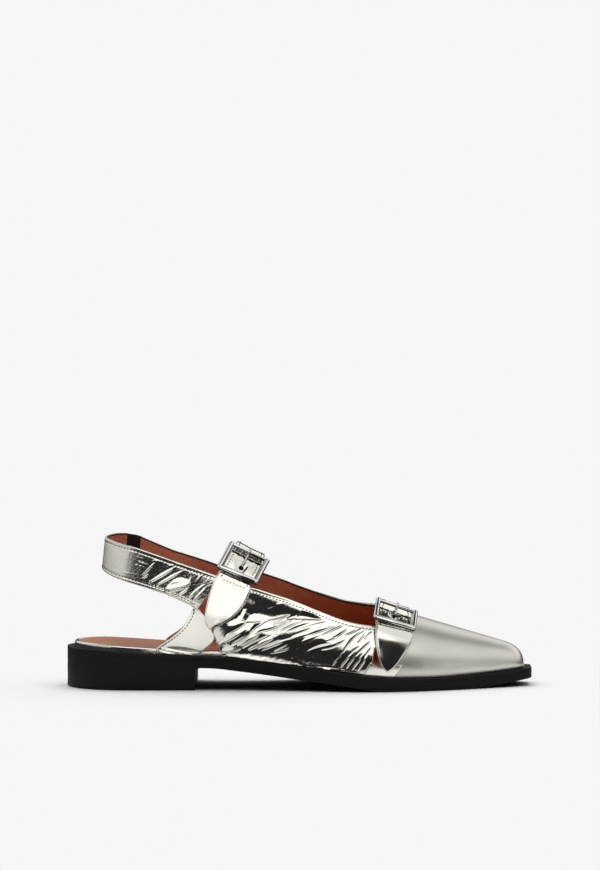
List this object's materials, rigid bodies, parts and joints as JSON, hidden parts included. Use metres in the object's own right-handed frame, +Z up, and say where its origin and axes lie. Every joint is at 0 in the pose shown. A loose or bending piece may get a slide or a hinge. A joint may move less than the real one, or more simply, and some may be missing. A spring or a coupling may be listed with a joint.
{
  "type": "slingback shoe",
  "caption": "Pointed flat slingback for the right foot in creased metallic leather, with buckled straps over instep and throat, open heel and side cut-outs on a low-heeled rubber sole.",
  "frame": {"origin": "on the floor, under the middle of the shoe's box", "axes": "+X towards the toe, +Y towards the inner side of the foot, +Z up"},
  "size_m": [0.267, 0.0854, 0.0864],
  "materials": {
    "sole_rubber": "matte black moulded rubber",
    "lining_leather": "smooth terracotta brown leather",
    "silver_leather": "silver foil leather, satin on the vamp and creased and mirror-like elsewhere",
    "elastic_band": "black woven elastic",
    "buckle_metal": "polished silver metal"
  },
  "bodies": {
    "root": {"outsole": "sole_rubber", "insole": "lining_leather", "heel_rand": "silver_leather", "upper": "silver_leather", "sling_strap": "silver_leather", "sling_elastic": "elastic_band", "sling_strap_medial": "silver_leather", "rear_strap": "silver_leather", "front_strap": "silver_leather", "rear_buckle": "buckle_metal", "front_buckle": "buckle_metal", "rear_prong": "buckle_metal", "front_prong": "buckle_metal"}
  },
  "joints": []
}
